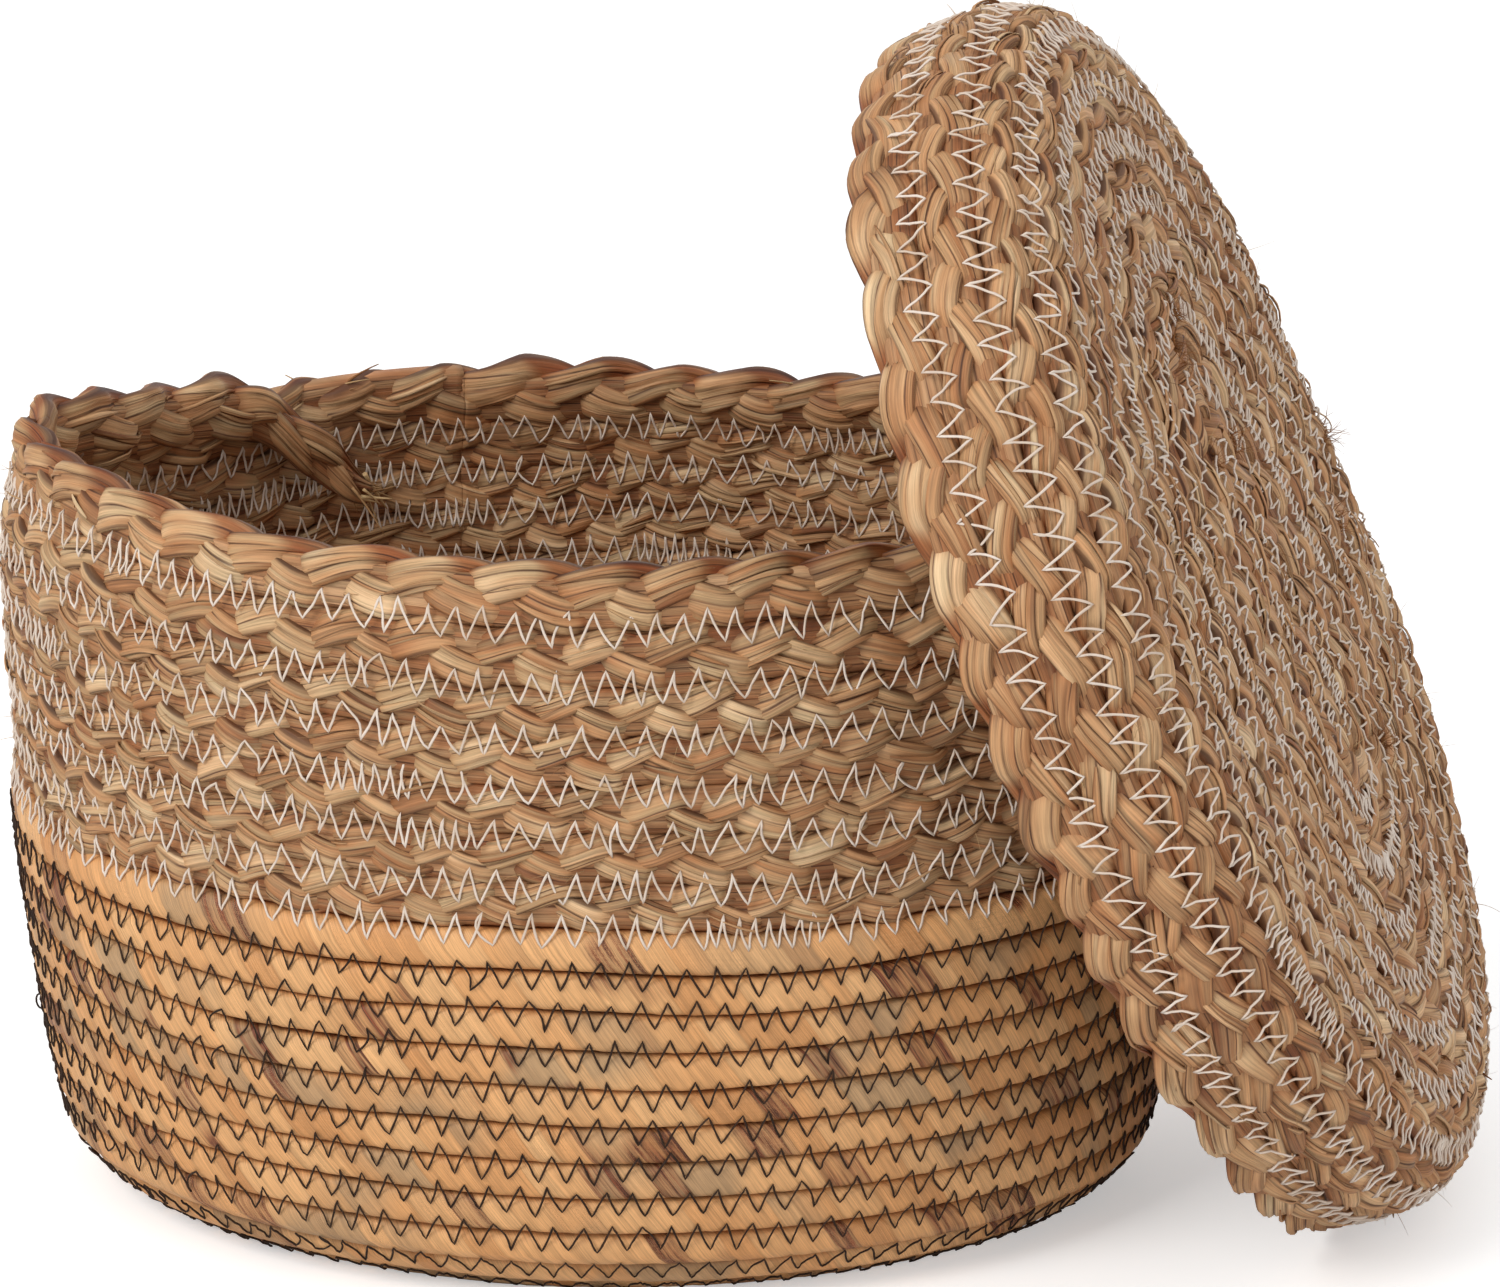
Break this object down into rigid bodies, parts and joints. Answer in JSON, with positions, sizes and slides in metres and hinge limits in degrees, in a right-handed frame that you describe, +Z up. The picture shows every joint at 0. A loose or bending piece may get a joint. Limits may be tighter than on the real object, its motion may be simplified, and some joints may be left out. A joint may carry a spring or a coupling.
{
  "type": "storage basket",
  "caption": "Oval coiled storage basket with a leaf-wrapped lower wall, a plaited upper wall and a lift-off plaited lid that leans on one end",
  "frame": {"origin": "on the floor, under the middle of the basket, on the flat underside of the floor's straight core", "axes": "+X along the basket's long axis, to the end on which the lid leans; +Y across it, away from the side that the lid's face is turned to; +Z up"},
  "size_m": [0.4684, 0.3121, 0.3787],
  "materials": {
    "leaf_rope": "dried leaf strips wrapped round a rope, low sheen",
    "basket_plait": "dry plaited plant fibre, matte",
    "lid_plait": "dry plaited plant fibre, matte"
  },
  "bodies": {
    "basket": {"floor_core": "leaf_rope", "floor_coil": "leaf_rope", "heel_course": "leaf_rope", "leaf_course_1": "leaf_rope", "leaf_course_2": "leaf_rope", "leaf_course_3": "leaf_rope", "leaf_course_4": "leaf_rope", "leaf_course_5": "leaf_rope", "leaf_course_6": "leaf_rope", "leaf_course_7": "leaf_rope", "leaf_course_8": "leaf_rope", "leaf_course_9": "leaf_rope", "plait_course_1": "basket_plait", "plait_course_2": "basket_plait", "plait_course_3": "basket_plait", "plait_course_4": "basket_plait", "plait_course_5": "basket_plait", "plait_course_6": "basket_plait", "rim_plait": "basket_plait", "rim_plait_tail": "basket_plait"},
    "lid": {"lid_top_core": "lid_plait", "lid_top_coil": "lid_plait", "lid_shoulder_plait": "lid_plait", "lid_skirt_plait_upper": "lid_plait", "lid_skirt_plait_lower": "lid_plait", "lid_plait_tail": "lid_plait"}
  },
  "joints": [
    {"name": "lid_lift", "type": "slide", "parent": "basket", "child": "lid", "axis": [0, 0, 1], "range_m": [0, 0.35]}
  ]
}
